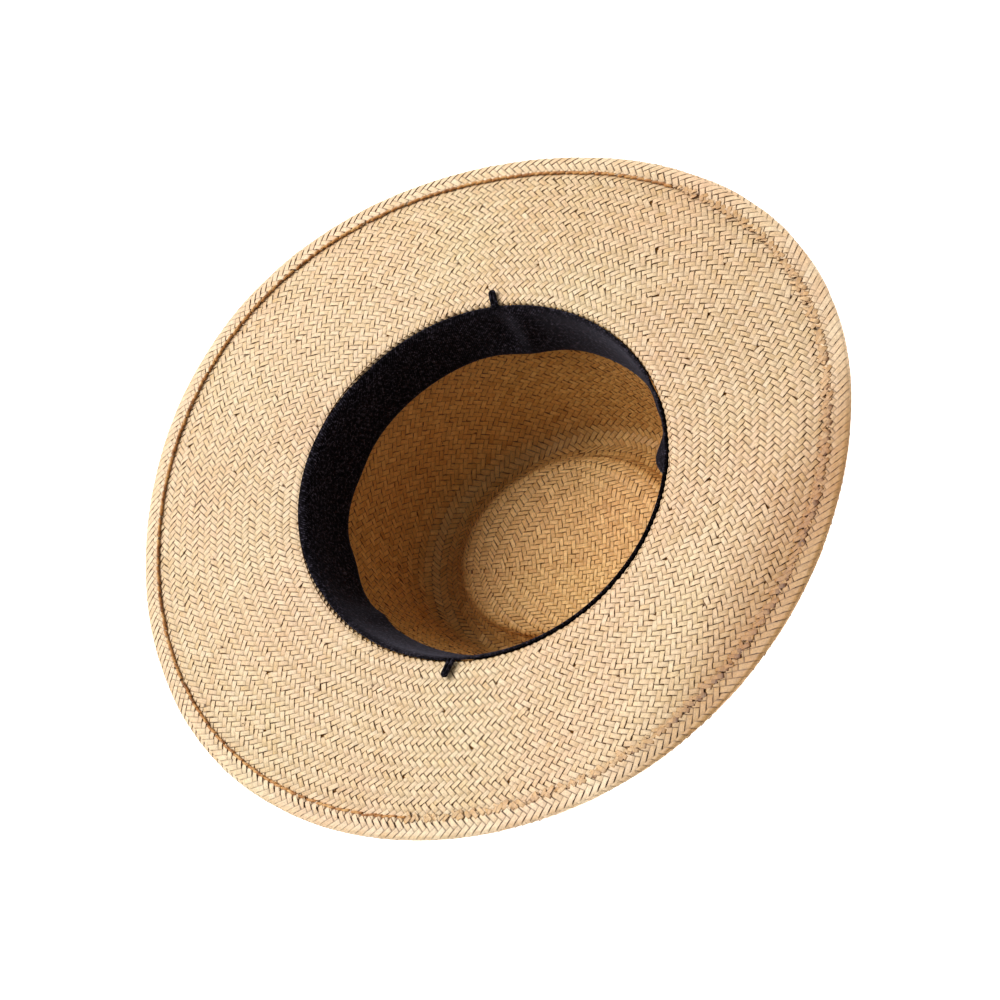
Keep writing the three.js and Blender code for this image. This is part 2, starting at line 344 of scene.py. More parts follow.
def strips_mesh(name, lay, lift, thickness, seed, wide=STRIP_SHARE):
    """One mesh of flat straw strips that pass over and under each other at their crossings."""
    chance = np.random.default_rng(seed)
    strip = lay["strip"]
    same = strip[1:] == strip[:-1]
    joined = np.flatnonzero(same)
    first = np.flatnonzero(np.r_[True, ~same])
    last = np.flatnonzero(np.r_[~same, True])
    at = np.concatenate([first, joined, joined, last])
    lengths = [len(first), len(joined), len(joined), len(last)]
    share = np.repeat([0.0, *CROSSING_SHARES, 0.0], lengths)
    late = np.repeat([0.0, 0.0, 0.0, 0.01], lengths)
    order = np.argsort(at + share + late, kind="stable")
    at = at[order]
    share = share[order]
    after = np.where(share > 0, np.minimum(at + 1, len(strip) - 1), at)

    def mixed(values):
        part = share.reshape((-1,) + (1,) * (values.ndim - 1))
        return values[at] * (1 - part) + values[after] * part

    centre = mixed(lay["point"] + chance.normal(0, PLACE_JITTER, lay["point"].shape))
    up = unit(mixed(lay["normal"]))
    if "walked" in lay:
        centre, up = hem_surface(mixed(lay["walked"]), mixed(lay["angle"]))
    nearer = np.where(share < 0.5, lay["over"][at], lay["over"][after])
    dives = lay["over"][at] != lay["over"][after]
    level = nearer * np.where(dives, DIVE_LEVEL, 1.0)
    dark = lay.get("dark", np.ones(len(strip)))[at]
    # Painted shade where a strip dives under a crossing, on its inner and its outer face
    tuck_shade = np.clip(0.5 - level / 2, 0, 1) * dark
    tuck_outside = np.clip(0.5 + level / 2, 0, 1) * dark
    level = level * lift * lay.get("lift", np.ones(len(strip)))[at]
    level = level + chance.normal(0, LEVEL_JITTER, len(at))
    centre = centre + up * level[:, None]
    owner = strip[at]
    index = np.arange(len(at))
    ahead = np.minimum(index + 1, len(at) - 1)
    ahead = np.where(owner[ahead] == owner, ahead, index)
    behind = np.maximum(index - 1, 0)
    behind = np.where(owner[behind] == owner, behind, index)
    run = unit(centre[ahead] - centre[behind])
    side = unit(np.cross(run, up))
    count = int(strip.max()) + 1
    breadth = wide * mixed(lay["width"])
    bend = lay.get("bend", np.zeros(len(strip)))[at]
    if "edge" in lay:
        edge = lay["edge"][at] * np.sign(np.sum(lay["edge"][at] * side, axis=1))[:, None]
        slanted = unit(side * (1 - bend)[:, None] + edge * bend[:, None])
        breadth = breadth / np.maximum(np.sum(slanted * side, axis=1), 0.5)
        side = slanted
    rise = unit(np.cross(side, run))
    breadth = breadth * (NARROWEST_STRIP + WIDTH_RANGE * chance.random(count))[owner]
    breadth = breadth * chance.normal(1.0, WIDTH_JITTER, len(at))
    roll = (chance.normal(0, ROLL_JITTER, len(at)) * (1 - bend))[:, None]
    side, rise = side * np.cos(roll) + rise * np.sin(roll), rise * np.cos(roll) - side * np.sin(roll)
    half = side * breadth[:, None] / 2
    swell = rise * thickness / 2
    corners = np.stack([
        centre - half + swell,
        centre + half + swell,
        centre + half - swell,
        centre - half - swell,
    ], axis=1)
    pairs = np.flatnonzero(owner[1:] == owner[:-1])
    faces = []
    for corner in range(4):
        following = (corner + 1) % 4
        faces.append(4 * pairs[:, None] + [corner, following, 4 + following, 4 + corner])
    starts = np.flatnonzero(np.r_[True, owner[1:] != owner[:-1]])
    ends = np.flatnonzero(np.r_[owner[1:] != owner[:-1], True])
    faces.append(4 * starts[:, None] + [3, 2, 1, 0])
    faces.append(4 * ends[:, None] + [0, 1, 2, 3])
    stride = np.linalg.norm(centre - centre[behind], axis=1)
    walked = np.cumsum(stride)
    walked = walked - walked[starts][np.searchsorted(starts, index, side="right") - 1]
    straw = np.empty((len(at), 4, 3))
    straw[:, :, 0] = walked[:, None]
    straw[:, :, 1] = np.array([0.0, 1.0, 1.0, 0.0])
    straw[:, :, 2] = chance.random(count)[owner][:, None]
    tuck_shade = np.stack([tuck_shade, tuck_shade, tuck_outside, tuck_outside], axis=1).ravel()
    return joined_mesh(name, corners.reshape(-1, 3), np.concatenate(faces), straw.reshape(-1, 3), tuck_shade)


def smoothed(mesh):
    """The mesh with smooth faces."""
    mesh.polygons.foreach_set("use_smooth", np.ones(len(mesh.polygons), bool))
    return mesh


def joined_mesh(name, points, faces, straw, tuck_shade):
    """A smooth mesh in metres with sharp strip edges. Its attributes say where on a strip a point is,
    how much painted shade it takes where it is tucked under and whether it faces out."""
    mesh = bpy.data.meshes.new(name)
    mesh.from_pydata((points * MM).tolist(), [], faces.tolist())
    smoothed(mesh)
    ends = np.empty(2 * len(mesh.edges), int)
    mesh.edges.foreach_get("vertices", ends)
    ends = ends.reshape(-1, 2)
    sharp = ends[:, 0] % 4 == ends[:, 1] % 4
    marks = mesh.attributes.new("sharp_edge", "BOOLEAN", "EDGE")
    marks.data.foreach_set("value", sharp)
    layer = mesh.attributes.new("straw", "FLOAT_VECTOR", "POINT")
    layer.data.foreach_set("vector", straw.astype(np.float32).ravel())
    for title, values in (("tuck_shade", tuck_shade), ("outer", np.arange(len(points)) % 4 > 1)):
        layer = mesh.attributes.new(title, "FLOAT", "POINT")
        layer.data.foreach_set("value", values.astype(np.float32))
    mesh.update()
    return mesh


def walk_along(start, angle, distance):
    """The place along the sections after a walk outwards on the face, in mm."""
    along = np.linspace(start, start + 2, 400)
    points = face_point(along, angle[0])
    walked = np.r_[0, np.cumsum(np.linalg.norm(np.diff(points, axis=0), axis=1))]
    return np.array([np.interp(distance, walked, along)])


CROWN_PLACES, CROWN_WALK = ring_places(0, BREAK, CROWN_RINGS)
BRIM_PLACES, BRIM_WALK = ring_places(BREAK, BRIM_EDGE, BRIM_RINGS)


def grid_place(i, j):
    """Ring and angle of a crossing of the straight strips, counted in squares round the weave's middle."""
    ring = np.abs(i) + np.abs(j)
    safe = np.maximum(ring, 1)
    quarter = np.select(
        [(i > 0) & (j >= 0), (i <= 0) & (j > 0), (i < 0) & (j <= 0)],
        [j / safe, 1 - i / safe, 2 - j / safe],
        3 + i / safe,
    )
    return ring, quarter * np.pi / 2


def walk_length(walks, angle):
    """The whole walk over the crown or the brim at an angle, in mm."""
    turn = (angle / (2 * np.pi)) % 1.0
    return np.interp(turn, np.linspace(0, 1, FAN + 1), walks)


def crown_place(i, j, ring, angle):
    """A crossing's place on the crown: straight strips on the dent, rings up the wall."""
    walk = ring * walk_length(CROWN_WALK, angle) / CROWN_RINGS
    plan = np.arctan2(np.sin(angle), np.cos(angle) * DENT_SHAPE)
    round_x = walk * np.cos(plan)
    round_y = walk * np.sin(plan)
    rounder = smooth(*GRID_RINGS, ring)
    away = 1 - smooth(0, SHIFT_RINGS, ring)
    x = i * GRID_PITCH * (1 - rounder) + round_x * rounder + WEAVE_SHIFT[0] * away
    y = j * GRID_PITCH * (1 - rounder) + round_y * rounder + WEAVE_SHIFT[1] * away
    plan = np.arctan2(y, x)
    angle = np.arctan2(np.sin(plan) * DENT_SHAPE, np.cos(plan))
    ring = np.hypot(x, y) / walk_length(CROWN_WALK, angle) * CROWN_RINGS
    return along_of(CROWN_PLACES, np.minimum(ring, CROWN_RINGS), angle), angle


def crown_run(i, j, ring, angle, turning, family):
    """The run of one family of strips over a crossing, from half a crossing before it to half after it."""
    on_wall = ring > WALL_RING
    ends = []
    for step in (-0.5, 0.5):
        run_i = i if family == 0 else i + step
        run_j = j + step if family == 0 else j
        grid_ring, grid_angle = grid_place(run_i, run_j)
        wall_angle = angle + turning * step * np.pi / WALL_STRIPS
        along, turned = crown_place(
            np.where(on_wall, 0.0, run_i),
            np.where(on_wall, 0.0, run_j),
            np.where(on_wall, ring + step, grid_ring),
            np.where(on_wall, wall_angle, grid_angle),
        )
        ends.append(face_point(along, turned))
    return ends[1] - ends[0]


def crown_lay(family):
    """Crossings of one family of crown strips, in order along each strip."""
    rows = []
    wall = np.arange(1, CROWN_RINGS - WALL_RING + 1)
    turn_step = np.pi / WALL_STRIPS
    for number, fixed in enumerate(range(-WALL_RING, WALL_RING + 1)):
        reach = WALL_RING - abs(fixed)
        free = np.arange(-reach, reach + 1)
        held = np.full(len(free), fixed)
        i, j = (held, free) if family == 0 else (free, held)
        ring, angle = grid_place(i, j)
        first_over = ((ring % 4) < 2) ^ (i * j < 0)
        over = first_over if family == 0 else ~first_over
        turning = np.sign(fixed) * (1 if family == 0 else -1)
        turns = np.zeros(len(ring))
        if fixed != 0:
            outer = WALL_RING + wall
            swing = turning * wall * turn_step
            inside = (outer % 4) < 2
            nothing = np.zeros(len(wall))
            i = np.r_[nothing, i, nothing]
            j = np.r_[nothing, j, nothing]
            ring = np.r_[outer[::-1], ring, outer]
            angle = np.r_[(angle[0] - swing)[::-1], angle, angle[-1] + swing]
            over = np.r_[(inside == (turning < 0))[::-1], over, inside == (turning > 0)]
            turns = np.r_[nothing - turning, turns, nothing + turning]
        rows.append((np.full(len(ring), number), i, j, ring, angle, over, turns))
    strip, i, j, ring, angle, over, turns = (np.concatenate(part) for part in zip(*rows))
    along, turned = crown_place(i, j, ring, angle)
    point, normal = off_face(along, turned, -STRAW_WALL / 2)
    own = crown_run(i, j, ring, angle, turns, family)
    other = crown_run(i, j, ring, angle, -turns, 1 - family)
    area = np.linalg.norm(np.cross(own, other), axis=1)
    width = area / np.maximum(np.linalg.norm(own, axis=1), 0.5)
    width = np.clip(width, *CROWN_WIDTHS) * np.interp(ring, DENT_RINGS, (DENT_SHARE, 1.0))
    return dict(strip=strip, point=point, normal=normal, over=np.where(over, 1.0, -1.0), width=width)


def brim_crossings():
    """Angles of the crossings on each brim ring; strips are added outwards so that the plait stays even."""
    round_length = 2 * np.pi * BRIM_RADIUS
    grid = np.linspace(0, 2 * np.pi, BRIM_FAN)
    added = np.arange(ADDED_STRIPS)
    added_angle = added * np.pi * (3 - math.sqrt(5))
    added_ring = ((added + 0.5) / ADDED_STRIPS) ** ADDED_SPREAD * BRIM_RINGS
    rings = []
    for ring in range(BRIM_RINGS + 1):
        run = (grid[None, :] - added_angle[:, None]) * BRIM_RADIUS * np.pi / round_length
        rise = (ring - added_ring) * RING_STEP
        rise = np.where(rise < 0, np.minimum(rise, -ADDED_CLEAR), np.maximum(rise, ADDED_CLEAR))
        rise = (rise * np.pi / round_length)[:, None]
        phase = np.unwrap(np.arctan2(np.cos(run) * np.sinh(rise), np.sin(run) * np.cosh(rise)), axis=1)
        count = (BRIM_STRIPS + ADDED_STRIPS / 2) * grid / (2 * np.pi) - phase.sum(axis=0) / (2 * np.pi)
        count = np.maximum.accumulate(count)
        half = ((CROWN_RINGS - WALL_RING + ring) % 2) / 2
        number = int(round(count[-1] - count[0]))
        marks = math.ceil(count[0] - half) + half + np.arange(number)
        rings.append(np.interp(marks, count, grid))
    return rings


def brim_lay(rings, turning):
    """Crossings of the brim strips that turn one way, in order along each strip."""
    owners = [np.arange(len(rings[0]))]
    total = len(rings[0])
    for ring in range(BRIM_RINGS):
        here = rings[ring]
        there = rings[ring + 1]
        goal = here + turning * np.pi / len(here)
        away = (there[None, :] - goal[:, None] + np.pi) % (2 * np.pi) - np.pi
        nearest = np.abs(away).argmin(axis=1)
        back = np.abs(away).argmin(axis=0)
        mutual = back[nearest] == np.arange(len(here))
        owner = np.full(len(there), -1)
        owner[nearest[mutual]] = owners[ring][mutual]
        fresh = owner < 0
        owner[fresh] = total + np.arange(fresh.sum())
        total += int(fresh.sum())
        owners.append(owner)
    strip = np.concatenate(owners)
    ring = np.concatenate([np.full(len(row), number) for number, row in enumerate(rings)])
    angle = np.concatenate(rings)
    gaps = [((np.roll(row, -1) - np.roll(row, 1)) % (2 * np.pi)) / 2 for row in rings]
    gap = np.concatenate(gaps)
    over = (((CROWN_RINGS + ring) % 4) < 2) == (turning > 0)
    first_ring = np.full(total, BRIM_RINGS + 1)
    np.minimum.at(first_ring, strip, ring)
    fresh = np.flatnonzero((ring == first_ring[strip]) & (ring > 0))
    last_ring = np.full(total, -1)
    np.maximum.at(last_ring, strip, ring)
    spent = np.flatnonzero((ring == last_ring[strip]) & (ring < BRIM_RINGS))
    ends = np.r_[fresh, spent]
    way = np.r_[np.full(len(fresh), -1), np.full(len(spent), 1)]
    strip = np.r_[strip, strip[ends]]
    ring = np.r_[ring, ring[ends] + way]
    angle = np.r_[angle, angle[ends] + way * turning * gap[ends] / 2]
    gap = np.r_[gap, gap[ends]]
    over = np.r_[over, np.zeros(len(ends), bool)]
    order = np.lexsort((ring, strip))
    strip, ring, angle, gap, over = strip[order], ring[order], angle[order], gap[order], over[order]
    along = along_of(BRIM_PLACES, np.minimum(ring, BRIM_RINGS - FOLD_RINGS), angle)
    point, normal = off_face(along, angle, -STRAW_WALL / 2)
    step = 0.005
    around = face_point(along, angle + step) - face_point(along, angle - step)
    around = around / (2 * step) * gap[:, None]
    inner = np.clip(ring - 0.5, 0, BRIM_RINGS)
    outer = np.clip(ring + 0.5, 0, BRIM_RINGS)
    out = face_point(along_of(BRIM_PLACES, outer, angle), angle)
    out = out - face_point(along_of(BRIM_PLACES, inner, angle), angle)
    out = out / (outer - inner)[:, None]
    area = np.linalg.norm(np.cross(out, around), axis=1)
    width = np.clip(area / np.linalg.norm(out + turning * around / 2, axis=1), *BRIM_WIDTHS)
    strip = np.unique(strip, return_inverse=True)[1]
    return dict(strip=strip, point=point, normal=normal, over=np.where(over, 1.0, -1.0), width=width)


def hem_surface(walked, angle):
    """Points and outward normals on the turned edge, walked from under the brim round to its upper face."""
    arc = math.pi * HEM_FOLD
    outward, normal = face_frame(BRIM_EDGE, angle)
    rim = face_point(BRIM_EDGE, angle)
    lean = np.clip(walked / arc, 0, 1) * np.pi - np.pi / 2
    drop = HEM_LIFT - HEM_FOLD
    run = HEM_FOLD * (np.cos(lean) - 1) + np.minimum(walked, 0)
    rise = drop + HEM_FOLD * np.sin(lean)
    fold = rim + outward * run[:, None] + normal * rise[:, None]
    fold_normal = outward * np.cos(lean)[:, None] + normal * np.sin(lean)[:, None]
    back = HEM_FOLD + np.maximum(walked - arc, 0)
    along = along_of(BRIM_PLACES, BRIM_RINGS * (1 - back / walk_length(BRIM_WALK, angle)), angle)
    flat, flat_normal = off_face(along, angle, HEM_LIFT)
    over = (walked > arc)[:, None]
    return np.where(over, flat, fold), np.where(over, flat_normal, fold_normal)


def hem_lay(turning):
    """Crossings of the turned edge's strips that turn one way; the rows drift in and out round the brim."""
    ring = np.tile(np.array(HEM_ROWS), HEM_STRIPS)
    strip = np.repeat(np.arange(HEM_STRIPS), len(HEM_ROWS))
    angle = 2 * np.pi * (strip + turning * ring / 2) / HEM_STRIPS
    sideways = (1 - np.cos(2 * angle)) / 2
    walked = HEM_ROW_START + HEM_ROW_STEP * ring - HEM_DRIFT * sideways
    beyond = np.clip((walked - HEM_REACH[1]) / HEM_ROW_STEP, 0, 1)
    kept = (walked > HEM_REACH[0]) & (beyond < 1)
    angle = angle - turning * beyond * np.pi / HEM_STRIPS
    walked = np.minimum(walked, HEM_REACH[1])
    long_float = (ring % 4 == 2) & (sideways < 0.4)
    over = ((ring % 4 < 2) | long_float) == (turning < 0)
    strip, angle, walked, over = strip[kept], angle[kept], walked[kept], over[kept]
    strip = np.unique(strip, return_inverse=True)[1]
    point, normal = hem_surface(walked, angle)
    step = 0.002
    edge = unit(hem_surface(walked, angle + step)[0] - hem_surface(walked, angle - step)[0])
    return dict(
        strip=strip,
        walked=walked,
        angle=angle,
        point=point,
        normal=normal,
        edge=edge,
        over=np.where(over, 1.0, -1.0),
        width=np.full(len(strip), HEM_STRIP_WIDTH),
        bend=np.interp(walked, *HEM_BENDS),
        lift=np.interp(walked, *HEM_LIFTS),
        dark=np.interp(walked, *HEM_DARKS),
    )


def colour(red, green, blue):
    """A colour given in 0 to 255 screen values, as linear light."""
    def channel(value):
        value = value / 255
        return value / 12.92 if value <= 0.04045 else ((value + 0.055) / 1.055) ** 2.4
    return (channel(red), channel(green), channel(blue), 1.0)


def feed(tree, value, socket):
    """Gives a socket a value, or links another node's output to it."""
    if isinstance(value, bpy.types.NodeSocket):
        tree.links.new(value, socket)
    else:
        socket.default_value = value


def node(tree, kind, values=None, **settings):
    """A new node with its settings and what goes into its inputs."""
    made = tree.nodes.new(kind)
    for key, value in settings.items():
        setattr(made, key, value)
    for title, value in (values or {}).items():
        feed(tree, value, made.inputs[title])
    return made


def maths(tree, operation, *values):
    """A Math node's result; each value is a number or another node's output."""
    made = node(tree, "ShaderNodeMath", operation=operation)
    for socket, value in zip(made.inputs, values):
        feed(tree, value, socket)
    return made.outputs[0]


def ramp(tree, value, stops):
    """A colour ramp through the given (place, colour) stops."""
    made = node(tree, "ShaderNodeValToRGB", dict(Fac=value))
    elements = made.color_ramp.elements
    while len(elements) < len(stops):
        elements.new(0.5)
    for element, (place, tint) in zip(elements, stops):
        element.position = place
        element.color = tint
    return made.outputs["Color"]


def blend(tree, mode, share, first, second):
    """Two colours mixed; the share and the colours are values or other nodes' outputs."""
    made = node(tree, "ShaderNodeMix", data_type="RGBA", blend_type=mode)
    for place, value in ((0, share), (6, first), (7, second)):
        feed(tree, value, made.inputs[place])
    return made.outputs[2]


def noise(tree, vector, scale, detail=2.0, roughness=0.5):
    """A noise texture's value."""
    values = dict(Vector=vector, Scale=scale, Detail=detail, Roughness=roughness)
    return node(tree, "ShaderNodeTexNoise", values).outputs["Fac"]


def stepped(tree, value, reach, start, end):
    """A smooth step from one number to another over the reach of a value."""
    values = {"Value": value, "From Min": reach[0], "From Max": reach[1], "To Min": start, "To Max": end}
    return node(tree, "ShaderNodeMapRange", values, interpolation_type="SMOOTHSTEP").outputs["Result"]


def vector_of(tree, x, y, z):
    """A vector from three values."""
    return node(tree, "ShaderNodeCombineXYZ", dict(X=x, Y=y, Z=z)).outputs[0]


def parts_of(tree, vector):
    """The three values of a vector."""
    return node(tree, "ShaderNodeSeparateXYZ", dict(Vector=vector)).outputs


def own_value(tree, title, output):
    """What a node reads from one of the mesh's own attributes."""
    return node(tree, "ShaderNodeAttribute", attribute_name=title).outputs[output]


def object_place(tree):
    """The place in the hat's own frame, in metres."""
    return node(tree, "ShaderNodeTexCoord").outputs["Object"]


def straw_group():
    """Colour, roughness and relief of split straw: strip by strip tones, fibre streaks, painted shade at
    the edges, the tucks and the back edge, and painted light on the dent.
    """
    tree = bpy.data.node_groups.new("split_straw", "ShaderNodeTree")
    for title in ("Pale", "Gold", "Rosy", "Shadow", "Outside"):
        tree.interface.new_socket(title, in_out="INPUT", socket_type="NodeSocketColor")
    for title, kind in (("Colour", "Color"), ("Roughness", "Float"), ("Relief", "Float")):
        tree.interface.new_socket(title, in_out="OUTPUT", socket_type="NodeSocket" + kind)
    given = node(tree, "NodeGroupInput").outputs
    along, across, chance = parts_of(tree, own_value(tree, "straw", "Vector"))
    place = object_place(tree)
    # Tone of each strip, which drifts along it, and the few rosy strips
    own = maths(tree, "MULTIPLY", chance, 97.0)
    drift = noise(tree, vector_of(tree, maths(tree, "MULTIPLY", along, 0.09), own, 0.0), 1.0, 3.0, 0.6)
    tone = maths(tree, "MULTIPLY_ADD", drift, DRIFT, maths(tree, "MULTIPLY_ADD", chance, 0.4, -0.5))
    tint = blend(tree, "MIX", maths(tree, "SMOOTH_MIN", tone, 1.0, 0.1), given["Pale"], given["Gold"])
    pick = maths(tree, "FRACT", maths(tree, "MULTIPLY", chance, 13.0))
    rosy = maths(tree, "MULTIPLY", maths(tree, "GREATER_THAN", pick, 0.7), 0.3)
    tint = blend(tree, "MIX", rosy, tint, given["Rosy"])
    # Fibres along the strip
    fine = vector_of(tree, maths(tree, "MULTIPLY", along, 0.12), maths(tree, "MULTIPLY", across, 7.0), own)
    fibre = noise(tree, fine, 1.0, 3.0, 0.6)
    streak = maths(tree, "MULTIPLY_ADD", fibre, *STREAKS)
    tint = blend(tree, "MULTIPLY", 1.0, tint, vector_of(tree, streak, streak, streak))
    # Shadow at the strip's edges and where it is tucked under
    rim = maths(tree, "MULTIPLY", maths(tree, "ABSOLUTE", maths(tree, "SUBTRACT", across, 0.5)), 2.0)
    bulge = maths(tree, "POWER", rim, 3.0)
    rim = maths(tree, "MULTIPLY", maths(tree, "POWER", rim, 8.0), DARKEST)
    # Factor on the outer face; on the crown it lifts the painted shade back off the outer side
    tint = blend(tree, "MULTIPLY", own_value(tree, "outer", "Fac"), tint, given["Outside"])
    tucked = stepped(tree, own_value(tree, "tuck_shade", "Fac"), SHADOW_REACH, 0.0, DARKEST)
    tint = blend(tree, "MIX", maths(tree, "MAXIMUM", rim, tucked), tint, given["Shadow"])
    # Flecks and warm patches over the whole hat
    fleck = maths(tree, "MULTIPLY_ADD", noise(tree, place, 1100.0, 2.0, 0.7), *FLECKS)
    tint = blend(tree, "MULTIPLY", 1.0, tint, vector_of(tree, fleck, fleck, fleck))
    warm = maths(tree, "MULTIPLY_ADD", noise(tree, place, 14.0), *WARMTH)
    tint = blend(tree, "MULTIPLY", 1.0, tint, vector_of(tree, 1.0, warm, warm))
    # Painted shade, darker and browner towards the back edge
    x, y = parts_of(tree, place)[:2]
    back = maths(tree, "MULTIPLY_ADD", x, BACK_SHADE_WAY[0], maths(tree, "MULTIPLY", y, BACK_SHADE_WAY[1]))
    back_shade = blend(tree, "MULTIPLY", 1.0, tint, BACK_SHADE_TINT)
    tint = blend(tree, "MIX", stepped(tree, back, BACK_SHADE_REACH, 0.0, 1.0), tint, back_shade)
    # Painted light: a paler, less red oval on the lit dent, lifting the crown's painted shade there
    lengthwise = maths(tree, "MULTIPLY", x, 1 / DENT_OVAL[0])
    crosswise = maths(tree, "MULTIPLY_ADD", y, 1 / DENT_OVAL[1], DENT_ASIDE / DENT_OVAL[1])
    outwards = maths(tree, "MULTIPLY", lengthwise, lengthwise)
    outwards = maths(tree, "MULTIPLY_ADD", crosswise, crosswise, outwards)
    tint = blend(tree, "MULTIPLY", stepped(tree, outwards, DENT_EDGE, 1.0, 0.0), tint, LIT_DENT_TINT)
    node(tree, "NodeGroupOutput", dict(
        Colour=tint,
        Roughness=maths(tree, "MULTIPLY_ADD", fibre, *GLOSS),
        Relief=maths(tree, "MULTIPLY_ADD", bulge, -0.7, fibre),
    ))
    return tree


STRAW_GROUP = straw_group()


def new_material(name, values):
    """A new material, with the given values on its shader, and its node tree."""
    made = bpy.data.materials.new(name)
    made.use_nodes = True
    shader = made.node_tree.nodes["Principled BSDF"]
    for title, value in values.items():
        shader.inputs[title].default_value = value
    return made, made.node_tree


def shade(tree, tint, height, strength, distance):
    """Links a colour and a relief, deep by a distance in metres, to a material's shader."""
    shader = tree.nodes["Principled BSDF"]
    relief = node(tree, "ShaderNodeBump", dict(Strength=strength, Distance=distance, Height=height))
    tree.links.new(tint, shader.inputs["Base Color"])
    tree.links.new(relief.outputs["Normal"], shader.inputs["Normal"])
    return shader


def straw_material(name, pale, gold, rosy, shadow, outside=(1.0, 1.0, 1.0, 1.0), bulge=0.35):
    """Woven straw in the given tones, with a factor for its outer side and the strength of its relief."""
    made, tree = new_material(name, {"Specular IOR Level": 0.35})
    straw = node(tree, "ShaderNodeGroup", node_tree=STRAW_GROUP)
    for title, tint in dict(Pale=pale, Gold=gold, Rosy=rosy, Shadow=shadow).items():
        straw.inputs[title].default_value = colour(*tint)
    straw.inputs["Outside"].default_value = outside
    shader = shade(tree, straw.outputs["Colour"], straw.outputs["Relief"], bulge, 0.0002)
    tree.links.new(straw.outputs["Roughness"], shader.inputs["Roughness"])
    return made


BRIM_STRAW = straw_material("brim_straw", (238, 210, 172), (216, 178, 124), (230, 190, 152), (88, 54, 14))
# Painted shade: the crown's straw is darker and redder than the brim's, standing for the shade in the
# hollow; the factor on its outer side brings that side back near the brim's tones
SHADED_CROWN_STRAW = straw_material(
    "crown_straw_painted_shade", (234, 185, 113), (184, 129, 62), (214, 157, 90), (92, 52, 12),
    outside=(1.21, 1.57, 2.95, 1.0), bulge=1.0,
)
HEM_STRAW = straw_material(
    "turned_edge_straw", (242, 216, 180), (222, 184, 136), (234, 196, 158), (84, 48, 14),
)
FRAY_STRAW = straw_material("raw_end_straw", (228, 192, 144), (196, 148, 92), (212, 166, 120), (98, 52, 8))
# Painted shade: the dark colour of the sheets between the strips
SHADE_SHEET_STRAW = new_material(
    "painted_shade_sheet", {"Base Color": colour(94, 58, 18), "Roughness": 0.9, "Specular IOR Level": 0.1},
)[0]


def thread_material():
    """Amber brown sewing thread, darker in its twist."""
    made, tree = new_material("amber_thread", {"Roughness": 0.6})
    place = object_place(tree)
    tint = ramp(tree, noise(tree, place, 260.0, 3.0), [
        (0.3, colour(128, 74, 26)),
        (0.5, colour(188, 126, 60)),
        (0.72, colour(228, 180, 112)),
    ])
    shade(tree, tint, noise(tree, place, 2200.0), strength=0.4, distance=0.0002)
    return made


HEM_THREAD = thread_material()


def cotton_material():
    """Black ribbed cotton: fine slanting rows on the band with a faint grey bloom."""
    made, tree = new_material("black_cotton", {
        "Roughness": 0.85,
        "Specular IOR Level": 0.0,
        "Sheen Weight": 0.12,
        "Sheen Roughness": 0.4,
        "Sheen Tint": colour(205, 202, 225),
    })
    along, across = parts_of(tree, own_value(tree, "cloth", "Vector"))[:2]
    slant = maths(tree, "ADD", across, along)
    rows = maths(tree, "SINE", maths(tree, "MULTIPLY", slant, 2 * math.pi / COTTON_ROW))
    grain = noise(tree, object_place(tree), 700.0, 3.0, 0.75)
    height = maths(tree, "MULTIPLY_ADD", rows, 0.06, grain)
    tint = ramp(tree, height, [
        (0.36, colour(4, 3, 3)),
        (0.54, colour(24, 21, 25)),
        (0.74, colour(82, 77, 90)),
    ])
    shade(tree, tint, height, strength=0.5, distance=0.0003)
    return made


COTTON = cotton_material()


def shade_sheet_piece(name, first, last, rows, columns):
    """A thin closed dark sheet in the middle of the straw: painted shade, seen between the strips."""
    along = np.linspace(first, last, rows)
    angle = np.arange(columns) * 2 * np.pi / columns
    there = np.concatenate([along, along[::-1]])[:, None] + np.zeros(columns)
    depth = np.repeat([SHADE_SHEET_HALF, -SHADE_SHEET_HALF], rows)[:, None] - STRAW_WALL / 2 + np.zeros(columns)
    points = off_face(there, np.broadcast_to(angle, there.shape), depth)[0]
    row = np.arange(2 * rows)[:, None] * columns
    following = np.roll(row, -1, axis=0)
    column_at = np.arange(columns)[None, :]
    beside = (column_at + 1) % columns
    faces = np.stack([row + column_at, following + column_at, following + beside, row + beside], axis=-1)
    mesh = bpy.data.meshes.new(name)
    mesh.from_pydata((points.reshape(-1, 3) * MM).tolist(), [], faces.reshape(-1, 4).tolist())
    shape = bmesh.new()
    shape.from_mesh(mesh)
    bmesh.ops.remove_doubles(shape, verts=shape.verts, dist=1e-7)
    bmesh.ops.recalc_face_normals(shape, faces=shape.faces)
    shape.to_mesh(mesh)
    shape.free()
    new_object(name, smoothed(mesh), SHADE_SHEET_STRAW, "straw")


def plait(name, lay, straw, seed, *nodes, lift=STRIP_LIFT, thickness=STRIP_THICKNESS, wide=STRIP_SHARE):
    """A finished piece of plaited strips."""
    new_object(name, strips_mesh(name, lay, lift, thickness, seed, wide), straw, "straw", *nodes)


